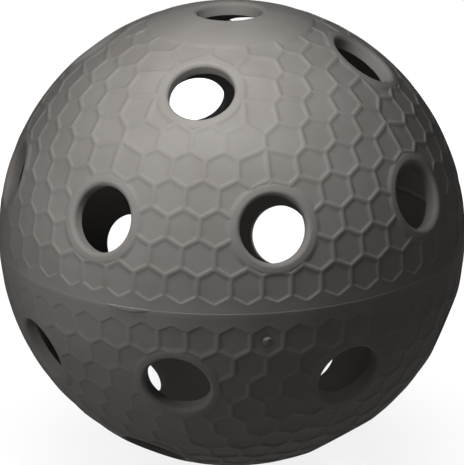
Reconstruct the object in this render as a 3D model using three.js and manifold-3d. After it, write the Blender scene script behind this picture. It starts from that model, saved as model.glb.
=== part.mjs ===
// A floorball ball: two identical perforated half shells with a honeycomb skin, welded at the equator.
// Millimetres, +Z along the mould axis, with the origin at the ball's centre.
import * as THREE from "three";
import { ConvexHull } from "three/addons/math/ConvexHull.js";
import { mergeVertices } from "three/addons/utils/BufferGeometryUtils.js";
import Module from "manifold-3d";

const wasm = await Module();
wasm.setup();

// Shell
const BALL_DIAMETER = 72;
const WALL = 1.85;

// Holes: one at the pole and two rings around it in each half, with a smooth land around every hole
const HOLE_DIAMETER = 10;
const RIM_ROUNDING = 0.9;
const LAND_WIDTH = 1.8;
const SMOOTH_CAP_DIAMETER = 25.2;
const HIGH_RING_HOLES = 4;
const HIGH_RING_COLATITUDE = 35.2;
const LOW_RING_HOLES = 8;
const LOW_RING_COLATITUDE = 70;

// Honeycomb: sunk cells in rows around the mould axis, laid out in one sector for each hole of the low ring
const CELL_PITCH = 4.87;
const ROW_PITCH = 4.3;
const FIRST_ROW_ABOVE_SEAM = 4.15;
const CELL_DEPTH = 0.25;
const CELL_WALL_RUN = 0.4;
const LEAST_CELL_SHARE = 0.3;
const LEAST_SUNK_SHARE = 0.5;

// Moulding gate: a small stub left in one cell of the first row
const GATE_DIAMETER = 1.1;
const GATE_RISE = 0.3;
const GATE_LONGITUDE = 135;

// Weld between the halves: a band of remelted plastic with a bead outside and inside
const WELD_HEIGHT = 0.8;
const OUTER_BEAD_RISE = 0.12;
const INNER_BEAD_RISE = 0.4;

// Turn of each half about the mould axis
const UPPER_TURN = -12.1;
const LOWER_TURN = -36.9;

// Facets of the round stretches, and the unevenness up to which a half's facets are joined
const HOLE_SIDES = 15;
const RIM_STEPS = 1;
const INSIDE_SIDES = 20;
const WELD_SIDES = 44;
const BEAD_STEPS = 2;
const GATE_SIDES = 8;
const FACET_TOLERANCE = 0.14;

const RADIUS = BALL_DIAMETER / 2;
const INSIDE_RADIUS = RADIUS - WALL;
const HOLE_RADIUS = HOLE_DIAMETER / 2;
const SECTOR = 360 / LOW_RING_HOLES;
const OUTSIDE = 2 * RADIUS;
const SAME_POINT = 1e-4;
const FULL_CELL_SPREAD = CELL_PITCH / Math.sqrt(3) / RADIUS;
const { degToRad, radToDeg } = THREE.MathUtils;

const plastic = new THREE.MeshStandardMaterial({ color: 0x595754, roughness: 0.45, metalness: 0 });
const weldPlastic = new THREE.MeshStandardMaterial({ color: 0x636160, roughness: 0.38, metalness: 0 });

// Unit vector at a latitude and a longitude: longitude 0 faces -Y and grows towards +X.
function direction(latitude, longitude) {
  const up = degToRad(latitude);
  const round = degToRad(longitude);
  return new THREE.Vector3(
    Math.cos(up) * Math.sin(round),
    -Math.cos(up) * Math.cos(round),
    Math.sin(up),
  );
}

// A closed geometry as a solid for joining and cutting.
function solid(geometry) {
  geometry.deleteAttribute("normal");
  geometry.deleteAttribute("uv");
  const merged = mergeVertices(geometry, SAME_POINT);
  const corners = merged.index.array;
  const triVerts = [];
  for (let i = 0; i < corners.length; i += 3) {
    const [a, b, c] = corners.subarray(i, i + 3);
    if (a !== b && b !== c && c !== a) triVerts.push(a, b, c);
  }
  return new wasm.Manifold(
    new wasm.Mesh({
      numProp: 3,
      vertProperties: merged.attributes.position.array,
      triVerts: new Uint32Array(triVerts),
    }),
  );
}

function meshOf(name, made, material) {
  const { vertProperties, triVerts } = made.getMesh();
  const geometry = new THREE.BufferGeometry();
  geometry.setAttribute("position", new THREE.BufferAttribute(vertProperties, 3));
  geometry.setIndex(new THREE.BufferAttribute(triVerts, 1));
  geometry.computeVertexNormals();
  const mesh = new THREE.Mesh(geometry, material);
  mesh.name = name;
  return mesh;
}

// A profile of radius and height, turned about +Z.
function turned(profile, sides) {
  return new THREE.LatheGeometry(profile, sides).rotateX(Math.PI / 2);
}

// The axes of one half's holes: one at the pole and two rings around it.
function holeAxes() {
  const axes = [direction(90, 0)];
  const ring = (count, colatitude, first) => {
    for (let i = 0; i < count; i++) axes.push(direction(90 - colatitude, first + (i * 360) / count));
  };
  ring(HIGH_RING_HOLES, HIGH_RING_COLATITUDE, 0);
  ring(LOW_RING_HOLES, LOW_RING_COLATITUDE, SECTOR / 2);
  return axes;
}

// Offsets of a row's cells from the middle of a sector, on one side: even rows have a cell in the middle,
// odd ones a ridge. A wide enough rest at the sector's edge gets a cell that both sectors share.
function rowOffsets(row, pitch) {
  const offsets = [];
  for (let at = row % 2 ? pitch / 2 : 0; at < SECTOR / 2; at += pitch) offsets.push(at);
  const rest = SECTOR / 2 - offsets.at(-1) - pitch / 2;
  if (rest > LEAST_CELL_SHARE * pitch) offsets.push(SECTOR / 2);
  return offsets;
}

// The cells of one half, each with the direction of its middle. The band beside the seam, the cap around
// the pole and the patch above each hole of the high ring stay flush with the ball.
function rowCells() {
  const cells = [];
  const highRow = 90 - HIGH_RING_COLATITUDE - radToDeg(ROW_PITCH / RADIUS) / 2;
  const capLatitude = 90 - radToDeg(Math.asin(SMOOTH_CAP_DIAMETER / BALL_DIAMETER));
  for (let row = -1; ; row++) {
    const latitude = radToDeg((FIRST_ROW_ABOVE_SEAM + row * ROW_PITCH) / RADIUS);
    if (latitude > 90) return cells;
    const pitch = radToDeg(CELL_PITCH / (RADIUS * Math.cos(degToRad(latitude))));
    for (const offset of rowOffsets(row, pitch)) {
      const sides = offset === 0 || offset === SECTOR / 2 ? [1] : [-1, 1];
      for (let sector = 0; sector < LOW_RING_HOLES; sector++) {
        const aboveHole = latitude > highRow && (sector * HIGH_RING_HOLES) % LOW_RING_HOLES === 0;
        if (aboveHole && SECTOR / 2 - offset < pitch / 2) continue;
        for (const side of sides) {
          const at = direction(latitude, sector * SECTOR + side * offset);
          cells.push({ at, sunk: row >= 0 && latitude < capLatitude && !aboveHole });
        }
      }
    }
  }
}

// Every patch of the ball's skin: cells, the smooth land around each hole, and plain patches that close
// the ball below the half, where it is trimmed away. Its reach is the angle that it covers around its middle.
function skinPatches() {
  const cellReach = CELL_PITCH / 2 / RADIUS;
  const landReach = Math.asin((HOLE_RADIUS + LAND_WIDTH) / RADIUS);
  const patches = rowCells().map((cell) => ({ ...cell, reach: cellReach }));
  for (const at of holeAxes()) patches.push({ at, sunk: false, reach: landReach });
  patches.push({ at: direction(-90, 0), sunk: false, reach: cellReach });
  for (let i = 0; i < LOW_RING_HOLES; i++) {
    patches.push({ at: direction(-SECTOR, i * SECTOR), sunk: false, reach: cellReach });
  }
  return patches;
}

// Gives each patch its corners, counter-clockwise seen from outside. Neighbours share the sphere as a power
// diagram does: corners are the normals of the hull around all middles, pushed out by their reach.
function findCorners(patches) {
  const patchAt = new Map();
  for (const patch of patches) {
    patch.corners = [];
    patchAt.set(patch.at.clone().divideScalar(Math.cos(patch.reach)), patch);
  }
  const corners = [];
  for (const face of new ConvexHull().setFromPoints([...patchAt.keys()]).faces) {
    let corner = corners.find((known) => known.distanceTo(face.normal) < SAME_POINT);
    if (!corner) corners.push((corner = face.normal.clone()));
    for (let i = 0; i < 3; i++) {
      const own = patchAt.get(face.getEdge(i).head().point).corners;
      if (!own.includes(corner)) own.push(corner);
    }
  }
  for (const { at, corners: own } of patches) {
    const east = new THREE.Vector3(0, 0, 1).cross(at);
    if (east.lengthSq() < SAME_POINT) east.set(1, 0, 0);
    east.normalize();
    const north = at.clone().cross(east);
    const bearing = (corner) => Math.atan2(corner.dot(north), corner.dot(east));
    own.sort((a, b) => bearing(a) - bearing(b));
  }
}

// The honeycomb ball: each sunk cell has a flat floor and sloping walls up to the ridges that it shares with
// its neighbours. What a land leaves of a cell stays flush where it is small.
function honeycombBall() {
  const positions = [];
  const triangle = (...points) => points.forEach(({ x, y, z }) => positions.push(x, y, z));
  const patches = skinPatches();
  findCorners(patches);
  for (const { sunk, corners } of patches) {
    const middle = new THREE.Vector3();
    for (const corner of corners) middle.add(corner);
    middle.normalize();
    const spread = corners.reduce((sum, corner) => sum + corner.angleTo(middle), 0) / corners.length;
    const rim = corners.map((corner) => corner.clone().multiplyScalar(RADIUS));
    const small = spread < LEAST_SUNK_SHARE * FULL_CELL_SPREAD;
    const floor = corners.map((corner) =>
      corner.clone().lerp(middle, CELL_WALL_RUN / RADIUS / spread).setLength(RADIUS - CELL_DEPTH),
    );
    middle.multiplyScalar(RADIUS);
    rim.forEach((p, i) => {
      const next = (i + 1) % rim.length;
      if (!sunk) {
        triangle(middle, p, rim[next]);
      } else if (small) {
        if (i > 1) triangle(rim[0], rim[i - 1], p);
      } else {
        triangle(p, rim[next], floor[next]);
        triangle(p, floor[next], floor[i]);
        if (i > 1) triangle(floor[0], floor[i - 1], floor[i]);
      }
    });
  }
  const geometry = new THREE.BufferGeometry();
  geometry.setAttribute("position", new THREE.Float32BufferAttribute(positions, 3));
  return solid(geometry);
}

// Places a geometry made about +Z on a hole's axis.
function along(axis, geometry) {
  return geometry.applyQuaternion(
    new THREE.Quaternion().setFromUnitVectors(new THREE.Vector3(0, 0, 1), axis),
  );
}

// The rim rounding rolls between the bore and the ball, and touches the ball at the rim's radius.
const ROUNDING_MIDDLE = HOLE_RADIUS + RIM_ROUNDING;
const ROUNDING_HEIGHT = Math.sqrt((RADIUS - RIM_ROUNDING) ** 2 - ROUNDING_MIDDLE ** 2);
const RIM_RADIUS = (ROUNDING_MIDDLE * RADIUS) / (RADIUS - RIM_ROUNDING);

// A hole's cutter: the straight bore with the rounded rim at its mouth.
function boreOf(axis) {
  const profile = [new THREE.Vector2(0, 0), new THREE.Vector2(HOLE_RADIUS, 0)];
  const toBall = Math.atan2(ROUNDING_HEIGHT, ROUNDING_MIDDLE);
  for (let i = 0; i <= RIM_STEPS; i++) {
    const turn = Math.PI + (i / RIM_STEPS) * (toBall - Math.PI);
    profile.push(
      new THREE.Vector2(
        ROUNDING_MIDDLE + RIM_ROUNDING * Math.cos(turn),
        ROUNDING_HEIGHT + RIM_ROUNDING * Math.sin(turn),
      ),
    );
  }
  profile.push(new THREE.Vector2(RIM_RADIUS, OUTSIDE), new THREE.Vector2(0, OUTSIDE));
  return solid(along(axis, turned(profile, HOLE_SIDES)));
}

// The gate stub stands on the floor of its cell.
function gateStub() {
  const axis = direction(radToDeg(FIRST_ROW_ABOVE_SEAM / RADIUS), GATE_LONGITUDE);
  const foot = RADIUS - (CELL_DEPTH + WALL) / 2;
  const height = RADIUS - CELL_DEPTH + GATE_RISE - foot;
  const stub = new THREE.CylinderGeometry(GATE_DIAMETER / 3, GATE_DIAMETER / 2, height, GATE_SIDES);
  stub.rotateX(Math.PI / 2).translate(0, 0, foot + height / 2);
  return solid(along(axis, stub));
}

// One moulded half, standing on its weld face, which lies half the weld's height above the equator.
function halfShell() {
  const inside = new THREE.SphereGeometry(INSIDE_RADIUS, INSIDE_SIDES, INSIDE_SIDES / 2);
  const below = new THREE.BoxGeometry(2 * OUTSIDE, 2 * OUTSIDE, OUTSIDE);
  below.translate(0, 0, (WELD_HEIGHT - OUTSIDE) / 2);
  let shell = honeycombBall().add(gateStub());
  shell = shell.subtract(solid(inside.rotateX(Math.PI / 2))).subtract(solid(below));
  for (const axis of holeAxes()) shell = shell.subtract(boreOf(axis));
  return shell.simplify(FACET_TOLERANCE);
}

// The weld band fills the joint between the two weld faces and bulges a little past both walls.
function weldSeam() {
  const half = WELD_HEIGHT / 2;
  const bulge = (radius, rise) => {
    const points = [];
    for (let i = 0; i <= BEAD_STEPS; i++) {
      const across = -1 + (2 * i) / BEAD_STEPS;
      points.push(new THREE.Vector2(radius + rise * (1 - across ** 2), across * half));
    }
    return points;
  };
  const outer = bulge(Math.sqrt(RADIUS ** 2 - half ** 2), OUTER_BEAD_RISE);
  const inner = bulge(Math.sqrt(INSIDE_RADIUS ** 2 - half ** 2), -INNER_BEAD_RISE).reverse();
  return solid(turned([...outer, ...inner, outer[0]], WELD_SIDES));
}

const shell = halfShell();
const upper = meshOf("upper_half_shell", shell, plastic);
upper.rotation.z = degToRad(UPPER_TURN);

const lower = meshOf("lower_half_shell", shell, plastic);
lower.rotation.x = Math.PI;
const lowerTurn = new THREE.Group();
lowerTurn.rotation.z = degToRad(LOWER_TURN);
lowerTurn.add(lower);

const ball = new THREE.Group();
ball.name = "floorball_ball";
ball.add(upper, lowerTurn, meshOf("weld_seam", weldSeam(), weldPlastic));

export default ball;
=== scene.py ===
"""A floorball ball dressed for rendering: two perforated honeycomb half shells and their weld."""
import math

import bmesh
import bpy
import numpy as np
from mathutils import Matrix, Vector, noise


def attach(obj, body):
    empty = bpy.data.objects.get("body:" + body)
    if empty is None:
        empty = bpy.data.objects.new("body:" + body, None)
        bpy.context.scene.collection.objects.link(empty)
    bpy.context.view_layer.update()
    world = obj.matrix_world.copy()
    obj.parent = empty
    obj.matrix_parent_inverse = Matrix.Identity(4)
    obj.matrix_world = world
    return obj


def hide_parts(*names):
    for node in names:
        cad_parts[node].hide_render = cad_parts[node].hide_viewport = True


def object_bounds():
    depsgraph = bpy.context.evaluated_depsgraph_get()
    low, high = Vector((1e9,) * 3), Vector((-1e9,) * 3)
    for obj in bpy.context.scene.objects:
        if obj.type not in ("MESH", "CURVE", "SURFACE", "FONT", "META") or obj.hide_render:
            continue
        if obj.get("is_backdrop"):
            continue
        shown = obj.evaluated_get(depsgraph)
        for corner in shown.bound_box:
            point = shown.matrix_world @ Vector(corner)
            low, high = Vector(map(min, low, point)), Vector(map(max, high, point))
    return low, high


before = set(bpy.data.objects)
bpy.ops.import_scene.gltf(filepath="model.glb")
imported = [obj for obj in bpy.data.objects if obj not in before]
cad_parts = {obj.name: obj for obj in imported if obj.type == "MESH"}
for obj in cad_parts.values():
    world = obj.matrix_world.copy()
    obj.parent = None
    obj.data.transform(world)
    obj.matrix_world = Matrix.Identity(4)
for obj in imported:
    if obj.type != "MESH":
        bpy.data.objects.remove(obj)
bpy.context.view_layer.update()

# The ball's lengths are millimetres until a piece is placed, the studio's are metres. Angles are degrees.
MM = 0.001
UP = Vector((0, 0, 1))
SAME_POINT = 1e-3

# Shell
RADIUS = 36.0
WALL = 2.1
WELD_HEIGHT = 0.8

# Turn of each half about the mould axis
UPPER_TURN = -12.1
LOWER_TURN = -36.9

# Holes: one at the pole and two rings around it in each half
HOLE_RADIUS = 4.9
RIM_ROUNDING = 0.7
HIGH_RING_HOLES = 4
HIGH_RING_COLATITUDE = 35.2
LOW_RING_HOLES = 8
LOW_RING_COLATITUDE = 70.0

# Radii between which a cutter reaches through the wall
CUT_FROM = RADIUS - 3 * WALL
CUT_TO = RADIUS + WALL

# Smooth lands: one around each hole and one wide cap around the pole
LAND_RADIUS = 6.5
CAP_RADIUS = 12.6
LAND_RISE = 0.008
LAND_ROOT = 1.2
LAND_STEP = 0.7

# The rounded rim of a hole runs out at this height, just above its land
RIM_RISE = 2 * LAND_RISE

# The edge of a land: distance out from its radius, and height
LAND_SLOPE = (
    (-0.3, 0.0),
    (-0.16, -0.008),
    (-0.04, -0.038),
    (0.08, -0.085),
    (0.22, -0.135),
    (0.45, -0.2),
)

# Honeycomb: sunk cells in rows around the mould axis, laid out in one sector for each hole of the low ring
CELL_PITCH = 4.87
ROW_PITCH = 4.3
FIRST_ROW_ABOVE_SEAM = 4.27
LEAST_CELL_SHARE = 0.3
SECTOR = 360.0 / LOW_RING_HOLES

# A cell's wall: distance in from the middle of the ridge, depth, and how square the corners are
CELL_WALL = (
    (0.1, 0.002, 60.0),
    (0.2, 0.018, 50.0),
    (0.31, 0.066, 42.0),
    (0.43, 0.124, 34.0),
    (0.58, 0.168, 28.0),
    (0.88, 0.195, 24.0),
)
CELL_WALL_WIDTH, CELL_DEPTH, _ = CELL_WALL[-1]

# A wall is wider by this share on the pole side and narrower on the seam side, so that the mould lets go
WALL_SKEW = 0.3

# The most of a small cell that its wall takes up, from its nearest side to its middle
LARGEST_WALL_SHARE = 0.75

# Places of the points along a cell's side, and of the rings across a cell that isn't sunk
EDGE_STEPS = (0.0, 0.07, 0.18, 0.5, 0.82, 0.93)
FLUSH_RINGS = (0.66, 0.33)

# Worn spots of a half, where the cells are shallow: latitude, longitude and spread
WORN_SPOTS = ((42.0, 15.0, 8.0), (8.0, -60.0, 20.0), (30.0, 165.0, 12.0))
WORN_SHARE = 0.55
UNEVEN_DEPTH = 0.15
UNEVEN_DEPTH_DETAIL = 4.0

# Gate: the torn stub where the plastic entered the mould, in a shallow crater in a cell of the first row.
# Both outlines are radius and height above the cell's floor.
GATE_LONGITUDE = 135.0
GATE_CRATER = ((0.0, -0.12), (0.7, -0.11), (1.15, -0.05), (1.45, 0.03))
GATE_STUB = ((0.75, -0.1), (0.7, 0.02), (0.58, 0.15), (0.4, 0.28), (0.2, 0.36), (0.0, 0.38))
GATE_ROOT = WALL / 3
GATE_LEAN = 0.5
GATE_RAGGED_DETAIL = 1.7
GATE_FLOOR = RADIUS - CELL_DEPTH

# Swell: the skin stands out more and more towards the weld
SWELL_HEIGHT = 1.75
SWELL_RISE = 0.085
SWELL_CURVE = 1.5
SWELL_SINK = 2 * LAND_RISE
SWELL_DEPTH = 1.0

# Weld: a lip at its upper edge, plain in the given stretches and faint elsewhere, and a bead inside.
# The edge powers of the lip and the flash say how near the edges of the weld they fade out.
LIP_HEIGHT = 0.25
LIP_WIDTH = 0.17
LIP_RISE = 0.03
LIP_STRETCHES = ((-24.0, 58.0), (140.0, 235.0))
LIP_FAINT = 0.15
LIP_FADE = 12.0
LIP_EDGE_POWER = 8
INNER_BEAD_RISE = 0.4

# How the weld varies along its length: detail, and share of the lip and the bead
WELD_UNEVENNESS = ((9.0, 0.35), (36.0, 0.25))

# Flash: a leaf of plastic that hangs from the lip over a short stretch
FLASH_LONGITUDE = -25.0
FLASH_SPREAD = 5.2
FLASH_RISE = 0.3
FLASH_DROP = 0.58
FLASH_EDGE = 0.07
FLASH_LEAN = 0.5
FLASH_END_SLOPE = 2.0
FLASH_EDGE_POWER = 16

# Facets
HOLE_SIDES = 80
RIM_STEPS = 8
CAP_SIDES = 128
INSIDE_SIDES = 128
WELD_SIDES = 540
WELD_STEPS = 33
SWELL_STEPS = 15
GATE_SIDES = 20
SHELL_SHARP_FROM = 32.0
WELD_SHARP_FROM = 50.0

# Plastic: darkest and lightest colour, least and most roughness
SHELL_COLOURS = ((0.127, 0.119, 0.112, 1), (0.145, 0.137, 0.13, 1))
SHELL_ROUGHNESS = (0.42, 0.5)
WELD_COLOURS = ((0.135, 0.127, 0.12, 1), (0.155, 0.147, 0.14, 1))
WELD_ROUGHNESS = (0.4, 0.48)
GRAZING_ROUGHNESS = 1.0
GRAZING_BLEND = 0.5
SPECULAR = 0.06

# Noise in the plastic: size of the grains, detail and roughness
MOTTLE = (7.0, 4.0, 0.5)
SATIN = (1.6, 5.0, 0.6)
GRAIN = (0.35, 4.0, 0.6)
NOISE_BAND = (0.3, 0.7)
GRAIN_STRENGTH = 0.8
GRAIN_DEPTH = 0.03

# Camera: the focal length is in pixels of an image of this height, the sensor in millimetres
ELEVATION = 19.66
ROLL = -0.654
CAMERA_DISTANCE = 13.843 * RADIUS * MM
FOCAL_PIXELS = 3220.0
IMAGE_HEIGHT = 465
SENSOR = 36.0
CLIP_START = 0.01

# Lamps: direction as right, up and back seen by the camera, then distance, size and power in watts
LAMPS = (
    ("key", (-0.12, 0.62, 0.78), 0.085, 0.036, 0.071),
    ("front", (0.15, 0.4, 0.9), 0.08, 0.03, 0.006),
    ("side", (-0.67, -0.01, 0.74), 0.08, 0.03, 0.018),
    ("fill", (0.12, 0.15, -0.98), 0.2, 0.12, 0.5),
    ("low", (-0.1, -0.62, -0.78), 0.25, 0.16, 0.12),
)

# Background and floor. The floor is pale where it is seen and throws little light back on the ball.
WHITE = (1, 1, 1, 1)
AMBIENT = 0.02
FLOOR_SIZE = 4.0
FLOOR_SEEN = 0.8
FLOOR_GLOW_BACK = 0.1
FLOOR_ROUGHNESS = 0.9
FLOOR_SPECULAR = 0.1
SHADOW_SHARE = 0.15
FLOOR_LIGHT = 4.0
FLOOR_LIGHT_SPREAD = 60.0


def direction(latitude, longitude):
    """Unit vector: longitude 0 faces -Y and grows towards +X."""
    up = math.radians(latitude)
    around = math.radians(longitude)
    return Vector((math.cos(up) * math.sin(around), -math.cos(up) * math.cos(around), math.sin(up)))


def tangents(middle):
    """Two directions square to each other and to the given one."""
    east = middle.orthogonal().normalized()
    return east, middle.cross(east)


def turn_between(first, second):
    """The turn from the second longitude to the first, the short way round."""
    return (first - second + 180) % 360 - 180


def bell(distance, width):
    """A share that is 1 at no distance and falls smoothly to 0."""
    return math.exp(-((distance / width) ** 2))


def add_object(name, data):
    """A new object in the scene."""
    made = bpy.data.objects.new(name, data)
    bpy.context.collection.objects.link(made)
    return made


# Layout of one half


def hole_axes():
    """The axes of one half's holes, the pole's first."""
    axes = [direction(90, 0)]
    rings = (
        (HIGH_RING_HOLES, HIGH_RING_COLATITUDE, 0.0),
        (LOW_RING_HOLES, LOW_RING_COLATITUDE, SECTOR / 2),
    )
    for count, colatitude, first in rings:
        axes += [direction(90 - colatitude, first + i * 360 / count) for i in range(count)]
    return axes


def row_offsets(row, pitch):
    """Offsets of a row's cells from the middle of a sector, on one side."""
    half = SECTOR / 2
    offsets = list(np.arange(pitch / 2 if row % 2 else 0.0, half, pitch))
    if offsets and half - offsets[-1] - pitch / 2 > LEAST_CELL_SHARE * pitch:
        offsets.append(half)
    return offsets


def row_cells():
    """The middle of every cell of one half, and whether it is sunk. The row next to the weld isn't."""
    cells = []
    row_step = math.degrees(ROW_PITCH / RADIUS)
    first = math.degrees(FIRST_ROW_ABOVE_SEAM / RADIUS)
    high_row = 90 - HIGH_RING_COLATITUDE - row_step / 2
    row = -1
    while first + row * row_step <= 90:
        latitude = first + row * row_step
        pitch = math.degrees(CELL_PITCH / (RADIUS * math.cos(math.radians(latitude))))
        for offset in row_offsets(row, pitch):
            sides = (1,) if offset in (0, SECTOR / 2) else (-1, 1)
            for sector in range(LOW_RING_HOLES):
                # From the high ring up, a sector with one of its holes lacks the cells at its edges.
                has_high_hole = sector * HIGH_RING_HOLES % LOW_RING_HOLES == 0
                if has_high_hole and latitude > high_row and SECTOR / 2 - offset < pitch / 2:
                    continue
                for side in sides:
                    cells.append((direction(latitude, sector * SECTOR + side * offset), row >= 0))
        row += 1
    return cells


def cell_corners(middles):
    """The corners of every cell, in order around it: the sphere is shared out to the nearest middle."""
    hull = bmesh.new()
    sites = [hull.verts.new(middle) for middle in middles]
    hull.verts.index_update()
    bmesh.ops.convex_hull(hull, input=sites)
    hull.normal_update()
    own = [[] for _ in middles]
    for face in hull.faces:
        corner = face.normal if face.normal.dot(face.calc_center_median()) > 0 else -face.normal
        for vert in face.verts:
            if all((corner - known).length > SAME_POINT for known in own[vert.index]):
                own[vert.index].append(corner.copy())
    hull.free()
    for middle, corners in zip(middles, own):
        east, north = tangents(middle)
        corners.sort(key=lambda corner: math.atan2(corner.dot(north), corner.dot(east)))
    return own


# Solids to join and cut


def lathe(profile, sides, axis=UP):
    """A closed solid turned about an axis through the origin, from radii and heights, lowest first."""
    made = bmesh.new()
    turn = UP.rotation_difference(axis)
    rings = []
    for radius, height in profile:
        count = sides if radius > 0 else 1
        angles = [2 * math.pi * i / sides for i in range(count)]
        points = [Vector((radius * math.cos(a), radius * math.sin(a), height)) for a in angles]
        rings.append([made.verts.new(turn @ point) for point in points])
    for low, high in zip(rings, rings[1:]):
        for i in range(sides):
            j = (i + 1) % sides
            corners = [low[i % len(low)], low[j % len(low)], high[j % len(high)], high[i % len(high)]]
            made.faces.new(list(dict.fromkeys(corners)))
    return made


def closed_ring(section):
    """A closed ring around the ball, from a function that gives its section's points at a longitude."""
    made = bmesh.new()
    rings = []
    for i in range(WELD_SIDES):
        rings.append([made.verts.new(point) for point in section(360 * i / WELD_SIDES)])
    for here, there in zip(rings, rings[1:] + rings[:1]):
        for i in range(len(here)):
            j = (i + 1) % len(here)
            made.faces.new((here[i], there[i], there[j], here[j]))
    bmesh.ops.recalc_face_normals(made, faces=made.faces)
    return made


def mesh_of(name, parts):
    """One mesh from several separate closed solids."""
    whole = bmesh.new()
    for part in parts:
        scratch = bpy.data.meshes.new("scratch")
        part.to_mesh(scratch)
        part.free()
        whole.from_mesh(scratch)
        bpy.data.meshes.remove(scratch)
    mesh = bpy.data.meshes.new(name)
    whole.to_mesh(mesh)
    whole.free()
    return mesh


def carve(mesh, steps):
    """Joins or cuts a mesh with tools, in order, and gives the result."""
    target = add_object("target", mesh)
    used = [target]
    for operation, tool_mesh in steps:
        tool = add_object("tool", tool_mesh)
        modifier = target.modifiers.new(operation, "BOOLEAN")
        modifier.operation = operation
        modifier.solver = "MANIFOLD"
        modifier.object = tool
        used.append(tool)
    graph = bpy.context.evaluated_depsgraph_get()
    result = bpy.data.meshes.new_from_object(target.evaluated_get(graph))
    for made in used:
        data = made.data
        bpy.data.objects.remove(made)
        bpy.data.meshes.remove(data)
    return result


# Honeycomb skin


def relief(middle):
    """The share of a cell's full depth at a place: uneven, and small in worn spots."""
    share = 1 + UNEVEN_DEPTH * noise.noise(middle * UNEVEN_DEPTH_DETAIL)
    for latitude, longitude, spread in WORN_SPOTS:
        apart = math.degrees(middle.angle(direction(latitude, longitude)))
        share *= 1 - WORN_SHARE * bell(apart, spread)
    return share


def cell_rim(corners):
    """Directions of points along the ridge round one cell, closest together near its corners."""
    rim = []
    for here, there in zip(corners, corners[1:] + corners[:1]):
        rim += [here.lerp(there, step).normalized() for step in EDGE_STEPS]
    return rim


def flush_rings(middle, rim):
    """Rings of points across a cell that isn't sunk, from the ridge inwards."""
    return [np.array([middle.slerp(point, share) for point in rim]) * RADIUS for share in FLUSH_RINGS]


def sunk_rings(middle, rim):
    """Rings of points down the wall of a sunk cell, and the depth of its floor."""
    east, north = tangents(middle)
    axes = np.array((east, north))
    flat = np.array([(point.dot(east), point.dot(north)) for point in rim]) * RADIUS
    bearing = flat / np.linalg.norm(flat, axis=1)[:, None]

    # Each side of the cell has a normal that points out, and a distance from the cell's middle.
    ends = flat[:: len(EDGE_STEPS)]
    sides = np.roll(ends, -1, axis=0) - ends
    normals = np.stack((sides[:, 1], -sides[:, 0]), axis=1) / np.linalg.norm(sides, axis=1)[:, None]
    reach = np.einsum("ij,ij->i", ends, normals)
    facing = np.maximum(bearing @ normals.T, 0.0)

    pole = np.array((east.z, north.z))
    widths = 1 + WALL_SKEW * (normals @ pole) / np.linalg.norm(pole)
    shrink = min(1.0, LARGEST_WALL_SHARE * (reach / widths).min() / CELL_WALL_WIDTH)
    deep = shrink * relief(middle)
    rings = []
    for inset, depth, square in CELL_WALL:
        # A sum of high powers, one for each side, rounds the corners between the sides.
        powers = (facing / (reach - inset * shrink * widths)) ** square
        radius = powers.sum(axis=1) ** (-1 / square)
        plane = (bearing * radius[:, None]) @ axes
        lift = np.sqrt((RADIUS - depth * deep) ** 2 - radius ** 2)
        rings.append(plane + np.array(middle) * lift[:, None])
    return rings, CELL_DEPTH * deep


def cell_skin(corners, sunk):
    """Rings of points from the ridge round one cell inwards, and the point at its middle."""
    rim = cell_rim(corners)
    middle = sum(corners, Vector()).normalized()
    if sunk:
        rings, depth = sunk_rings(middle, rim)
    else:
        rings, depth = flush_rings(middle, rim), 0.0
    return [np.array(rim) * RADIUS] + rings, np.array(middle) * (RADIUS - depth)


def skin_faces(start, count, levels):
    """Faces between rings of points numbered on from a start, and in to the point after the last ring."""
    middle = start + count * levels
    faces = []
    for outer in range(start, middle - count, count):
        inner = outer + count
        for i in range(count):
            j = (i + 1) % count
            faces.append((outer + i, outer + j, inner + j, inner + i))
    last = middle - count
    faces += [(last + i, last + (i + 1) % count, middle) for i in range(count)]
    return faces


def honeycomb_ball():
    """A closed ball with the honeycomb of one half in its skin. Plain patches close it below."""
    cells = row_cells()
    cells += [(direction(-90, 0), False)]
    cells += [(direction(-SECTOR, i * SECTOR), False) for i in range(LOW_RING_HOLES)]
    corners = cell_corners([middle for middle, _ in cells])
    points = []
    faces = []
    for (_, sunk), own in zip(cells, corners):
        rings, centre = cell_skin(own, sunk)
        faces += skin_faces(len(points), len(rings[0]), len(rings))
        for ring in rings:
            points.extend(ring.tolist())
        points.append(centre.tolist())
    mesh = bpy.data.meshes.new("honeycomb")
    mesh.from_pydata(points, [], faces)
    made = bmesh.new()
    made.from_mesh(mesh)
    bpy.data.meshes.remove(mesh)
    bmesh.ops.remove_doubles(made, verts=made.verts, dist=SAME_POINT)
    bmesh.ops.recalc_face_normals(made, faces=made.faces)
    return made


# Holes, gate and weld edge of one half


def land(axis, radius, sides):
    """A plug with a smooth top just proud of the ridges and a rounded edge that runs into the cells."""
    ball = RADIUS + LAND_RISE
    slope = []
    for out, height in LAND_SLOPE:
        slope.append((radius + out, math.sqrt(ball ** 2 - (radius + out) ** 2) + height))
    edge = slope[0][0]
    foot = slope[-1][1] - LAND_ROOT
    radii = np.linspace(edge, 0.0, math.ceil(edge / LAND_STEP) + 1)[1:]
    top = [(out, math.sqrt(ball ** 2 - out ** 2)) for out in radii]
    return lathe([(0.0, foot), (slope[-1][0], foot)] + slope[::-1] + top, sides, axis)


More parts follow.
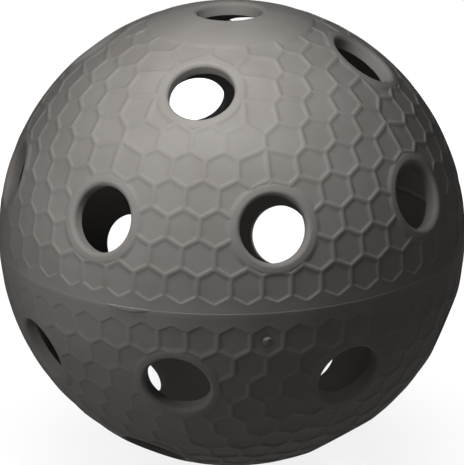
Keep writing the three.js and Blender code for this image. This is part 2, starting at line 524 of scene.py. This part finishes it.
def bore(axis):
    """A hole's cutter, with the rounded rim at its mouth."""
    ball = RADIUS + RIM_RISE
    middle = HOLE_RADIUS + RIM_ROUNDING
    height = math.sqrt((ball - RIM_ROUNDING) ** 2 - middle ** 2)
    outer = math.atan2(height, middle)
    profile = [(0.0, CUT_FROM), (HOLE_RADIUS, CUT_FROM)]
    for step in range(RIM_STEPS + 1):
        turn = math.pi + (outer - math.pi) * step / RIM_STEPS
        profile.append((middle + RIM_ROUNDING * math.cos(turn), height + RIM_ROUNDING * math.sin(turn)))
    profile += [(profile[-1][0], CUT_TO), (0.0, CUT_TO)]
    return lathe(profile, HOLE_SIDES, axis)


def gate_axis():
    """The direction of the gate, in the first row of cells."""
    return direction(math.degrees(FIRST_ROW_ABOVE_SEAM / RADIUS), GATE_LONGITUDE)


def gate_crater():
    """The cutter of the shallow crater round the gate."""
    profile = [(radius, GATE_FLOOR + height) for radius, height in GATE_CRATER]
    profile += [(profile[-1][0], CUT_TO), (0.0, CUT_TO)]
    return lathe(profile, GATE_SIDES, gate_axis())


def gate_stub():
    """A torn stub in the crater, which leans towards the seam."""
    axis = gate_axis()
    root = GATE_FLOOR - GATE_ROOT
    profile = [(0.0, root), (GATE_STUB[0][0], root)]
    profile += [(radius, GATE_FLOOR + height) for radius, height in GATE_STUB]
    made = lathe(profile, GATE_SIDES, axis)
    for vert in made.verts:
        above = max(0.0, vert.co.dot(axis) - GATE_FLOOR)
        ragged = noise.noise(vert.co * GATE_RAGGED_DETAIL)
        vert.co += (axis * ragged - UP * GATE_LEAN) * above
    return made


def swell(height):
    """How far the skin stands out at a height above or below the seam. It ends just under the skin."""
    share = abs(height) / SWELL_HEIGHT
    return SWELL_RISE * (1 - share) ** SWELL_CURVE - SWELL_SINK * share


def skin_radius(height):
    """The distance of the swollen skin from the mould axis."""
    return math.sqrt(RADIUS ** 2 - height ** 2) + swell(height)


def swollen_section(longitude):
    """The section of the ring of a half's skin that swells towards the weld."""
    ray = direction(0, longitude)
    outer = [(skin_radius(z), z) for z in np.linspace(0.0, SWELL_HEIGHT, SWELL_STEPS)]
    inner = [(RADIUS - SWELL_DEPTH, SWELL_HEIGHT), (RADIUS - SWELL_DEPTH, 0.0)]
    return [ray * radius + UP * z for radius, z in outer + inner]


def inside_ball():
    """The hollow within the wall."""
    made = bmesh.new()
    bmesh.ops.create_uvsphere(
        made,
        u_segments=INSIDE_SIDES,
        v_segments=INSIDE_SIDES // 2,
        radius=RADIUS - WALL,
    )
    return made


def below_weld_face():
    """A block larger than the ball, up to the weld face of a half."""
    face = WELD_HEIGHT / 2
    size = 2 * RADIUS
    return lathe([(0.0, -size), (size, -size), (size, face), (0.0, face)], 4)


def half_shell_mesh():
    """One moulded half about +Z, standing on its weld face."""
    axes = hole_axes()
    raised = [land(axis, LAND_RADIUS, HOLE_SIDES) for axis in axes[1:]]
    raised.append(land(axes[0], CAP_RADIUS, CAP_SIDES))
    raised += [gate_stub(), closed_ring(swollen_section)]
    return carve(
        mesh_of("ball", [honeycomb_ball()]),
        (
            ("DIFFERENCE", mesh_of("crater", [gate_crater()])),
            ("UNION", mesh_of("raised", raised)),
            ("DIFFERENCE", mesh_of("inside", [inside_ball()])),
            ("DIFFERENCE", mesh_of("below", [below_weld_face()])),
            ("DIFFERENCE", mesh_of("bores", [bore(axis) for axis in axes])),
        ),
    )


# Weld


def lip_share(longitude):
    """How much of the lip is there: it stands out in some stretches and is faint elsewhere."""
    share = LIP_FAINT
    for start, end in LIP_STRETCHES:
        apart = abs(turn_between(longitude, (start + end) / 2))
        share = max(share, min(1.0, LIP_FAINT + ((end - start) / 2 - apart) / LIP_FADE))
    return share


def weld_section(longitude):
    """The weld's section: up the skin with its lip and flash, and down the bead inside."""
    ray = direction(0, longitude)
    half = WELD_HEIGHT / 2
    heights = np.linspace(-half, half, WELD_STEPS)
    uneven = 1 + sum(share * noise.noise(ray * detail) for detail, share in WELD_UNEVENNESS)
    lip_rise = LIP_RISE * uneven * lip_share(longitude)
    leaf = max(0.0, 1 - (turn_between(longitude, FLASH_LONGITUDE) / FLASH_SPREAD) ** 2)
    flash_rise = FLASH_RISE * min(1.0, FLASH_END_SLOPE * leaf)
    points = []
    for z in heights:
        lip = lip_rise * bell(z - LIP_HEIGHT, LIP_WIDTH) * (1 - (z / half) ** LIP_EDGE_POWER)
        outside_leaf = max(0.0, LIP_HEIGHT - FLASH_DROP * leaf - z, z - LIP_HEIGHT)
        flash = flash_rise * bell(outside_leaf, FLASH_EDGE) * (1 - (z / half) ** FLASH_EDGE_POWER)
        points.append(ray * (skin_radius(z) + lip + flash) + UP * (z + FLASH_LEAN * flash))
    inner = math.sqrt((RADIUS - WALL) ** 2 - half ** 2)
    for z in heights[::-1]:
        bead = INNER_BEAD_RISE * uneven * (1 - (z / half) ** 2)
        points.append(ray * (inner - bead) + UP * z)
    return points


# Materials


def connect(tree, socket, value):
    """Links a socket to another one, or sets it to a plain value."""
    if isinstance(value, bpy.types.NodeSocket):
        tree.links.new(value, socket)
    else:
        socket.default_value = value


def noise_value(tree, size, detail, roughness):
    """Noise whose grains are about this many millimetres across."""
    made = tree.nodes.new("ShaderNodeTexNoise")
    made.inputs["Scale"].default_value = 1 / (size * MM)
    made.inputs["Detail"].default_value = detail
    made.inputs["Roughness"].default_value = roughness
    where = tree.nodes.new("ShaderNodeTexCoord")
    tree.links.new(where.outputs["Object"], made.inputs["Vector"])
    return made.outputs["Fac"]


def remap(tree, value, source, target):
    """Maps a value from one stretch to another, each given by its two ends."""
    made = tree.nodes.new("ShaderNodeMapRange")
    for name, end in zip(("From Min", "From Max", "To Min", "To Max"), (*source, *target)):
        made.inputs[name].default_value = end
    tree.links.new(value, made.inputs["Value"])
    return made.outputs["Result"]


def mix(tree, kind, share, first, second):
    """A mix of two numbers or two colours, by the kind of data."""
    made = tree.nodes.new("ShaderNodeMix")
    made.data_type = kind
    for name, value in (("Factor", share), ("A", first), ("B", second)):
        connect(tree, made.inputs[name], value)
    return made.outputs["Result"]


def new_material(name):
    """A material with its node tree and main shader."""
    material = bpy.data.materials.new(name)
    material.use_nodes = True
    tree = material.node_tree
    return material, tree, tree.nodes["Principled BSDF"]


def plastic(name, colours, roughness):
    """Satin moulded plastic with faint flow mottling and a fine grain."""
    material, tree, shader = new_material(name)
    mottle = remap(tree, noise_value(tree, *MOTTLE), NOISE_BAND, (0.0, 1.0))
    tree.links.new(mix(tree, "RGBA", mottle, *colours), shader.inputs["Base Color"])
    satin = remap(tree, noise_value(tree, *SATIN), NOISE_BAND, roughness)
    grazing = tree.nodes.new("ShaderNodeLayerWeight")
    grazing.inputs["Blend"].default_value = GRAZING_BLEND
    rough = mix(tree, "FLOAT", grazing.outputs["Facing"], satin, GRAZING_ROUGHNESS)
    tree.links.new(rough, shader.inputs["Roughness"])
    bump = tree.nodes.new("ShaderNodeBump")
    bump.inputs["Strength"].default_value = GRAIN_STRENGTH
    bump.inputs["Distance"].default_value = GRAIN_DEPTH * MM
    tree.links.new(noise_value(tree, *GRAIN), bump.inputs["Height"])
    tree.links.new(bump.outputs["Normal"], shader.inputs["Normal"])
    shader.inputs["Specular IOR Level"].default_value = SPECULAR
    return material


# Pieces


def turned(angle):
    """A turn about the mould axis."""
    return Matrix.Rotation(math.radians(angle), 4, "Z")


def place(mesh, placing, sharp_from):
    """Brings a mesh to its place in metres, and shades it smooth between sharp edges."""
    mesh.transform(Matrix.Scale(MM, 4) @ placing)
    mesh.shade_smooth()
    mesh.set_sharp_from_angle(angle=math.radians(sharp_from))
    mesh.update()


def piece(name, mesh, material, node):
    """Shows a mesh in place of a node of the frame."""
    made = add_object(name, mesh)
    mesh.materials.clear()
    mesh.materials.append(material)
    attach(made, "root")
    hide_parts(node)


shell_plastic = plastic("shell_plastic", SHELL_COLOURS, SHELL_ROUGHNESS)
weld_plastic = plastic("weld_plastic", WELD_COLOURS, WELD_ROUGHNESS)

upper_mesh = half_shell_mesh()
lower_mesh = upper_mesh.copy()
weld_mesh = mesh_of("weld", [closed_ring(weld_section)])
place(upper_mesh, turned(UPPER_TURN), SHELL_SHARP_FROM)
place(lower_mesh, turned(LOWER_TURN) @ Matrix.Rotation(math.pi, 4, "X"), SHELL_SHARP_FROM)
place(weld_mesh, Matrix.Identity(4), WELD_SHARP_FROM)

piece("upper_honeycomb_shell", upper_mesh, shell_plastic, "upper_half_shell")
piece("lower_honeycomb_shell", lower_mesh, shell_plastic, "lower_half_shell")
piece("weld_bead", weld_mesh, weld_plastic, "weld_seam")

# Studio


def camera_axes():
    """Right, up and back as the camera sees them."""
    back = direction(ELEVATION, 0)
    right = Vector((1, 0, 0))
    up = back.cross(right)
    roll = math.radians(ROLL)
    return right * math.cos(roll) + up * math.sin(roll), up * math.cos(roll) - right * math.sin(roll), back


def add_camera(right, up, back):
    """The camera, which looks at the middle of the ball."""
    lens = bpy.data.cameras.new("camera")
    lens.sensor_fit = "VERTICAL"
    lens.sensor_height = SENSOR
    lens.lens = FOCAL_PIXELS / IMAGE_HEIGHT * SENSOR
    lens.clip_start = CLIP_START
    camera = add_object("camera", lens)
    aim = Matrix((right, up, back)).transposed().to_4x4()
    camera.matrix_world = Matrix.Translation(back * CAMERA_DISTANCE) @ aim
    bpy.context.scene.camera = camera


def add_lamp(view, name, towards, distance, size, power):
    """A soft round lamp that faces the ball."""
    seen = sum((axis * share for axis, share in zip(view, towards)), Vector())
    light = bpy.data.lights.new(name, "AREA")
    light.shape = "DISK"
    light.size = size
    light.energy = power
    lamp = add_object(name, light)
    lamp.location = seen.normalized() * distance
    lamp.rotation_euler = seen.to_track_quat("Z", "Y").to_euler()


def seen_rays(tree):
    """A value that is 1 where the camera sees a thing, also in a gloss or through glass, and else 0."""
    rays = tree.nodes.new("ShaderNodeLightPath").outputs
    seen = rays["Is Camera Ray"]
    for kind in ("Is Glossy Ray", "Is Transmission Ray"):
        either = tree.nodes.new("ShaderNodeMath")
        either.operation = "MAXIMUM"
        tree.links.new(seen, either.inputs[0])
        tree.links.new(rays[kind], either.inputs[1])
        seen = either.outputs[0]
    return seen


def add_background():
    """A world that is white where it is seen, and gives only a little light."""
    world = bpy.data.worlds.new("studio")
    bpy.context.scene.world = world
    world.use_nodes = True
    tree = world.node_tree
    sky = tree.nodes["Background"]
    sky.inputs["Color"].default_value = WHITE
    tree.links.new(remap(tree, seen_rays(tree), (0.0, 1.0), (AMBIENT, 1.0)), sky.inputs["Strength"])


def floor_white():
    """A floor that is white where it is seen, apart from a soft shadow."""
    material, tree, shader = new_material("floor_white")
    bounced = tree.nodes.new("ShaderNodeLightPath").outputs["Is Diffuse Ray"]
    shade = remap(tree, bounced, (0.0, 1.0), (FLOOR_SEEN, FLOOR_GLOW_BACK))
    tree.links.new(shade, shader.inputs["Base Color"])
    shader.inputs["Roughness"].default_value = FLOOR_ROUGHNESS
    shader.inputs["Specular IOR Level"].default_value = FLOOR_SPECULAR
    glow = tree.nodes.new("ShaderNodeEmission")
    both = tree.nodes.new("ShaderNodeMixShader")
    tree.links.new(remap(tree, seen_rays(tree), (0.0, 1.0), (0.0, 1 - SHADOW_SHARE)), both.inputs[0])
    tree.links.new(shader.outputs[0], both.inputs[1])
    tree.links.new(glow.outputs[0], both.inputs[2])
    tree.links.new(both.outputs[0], tree.nodes["Material Output"].inputs["Surface"])
    return material


def add_floor():
    """The floor under the ball. It throws no shadow itself."""
    mesh = bpy.data.meshes.new("floor")
    edge = FLOOR_SIZE / 2
    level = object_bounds()[0][2]
    corners = [(-edge, -edge, level), (edge, -edge, level), (edge, edge, level), (-edge, edge, level)]
    mesh.from_pydata(corners, [], [(0, 1, 2, 3)])
    mesh.materials.append(floor_white())
    floor = add_object("floor", mesh)
    floor.visible_shadow = False
    floor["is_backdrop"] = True
    return floor


def add_floor_light(floor):
    """A light from overhead that gives the floor the ball's soft shadow, and doesn't reach the ball."""
    sun = bpy.data.lights.new("floor_light", "SUN")
    sun.energy = FLOOR_LIGHT
    sun.angle = math.radians(FLOOR_LIGHT_SPREAD)
    lamp = add_object("floor_light", sun)
    floor_only = bpy.data.collections.new("floor_only")
    floor_only.objects.link(floor)
    lamp.light_linking.receiver_collection = floor_only


view = camera_axes()
add_camera(*view)
for lamp_values in LAMPS:
    add_lamp(view, *lamp_values)
add_background()
add_floor_light(add_floor())

bpy.context.scene.view_settings.view_transform = "Standard"
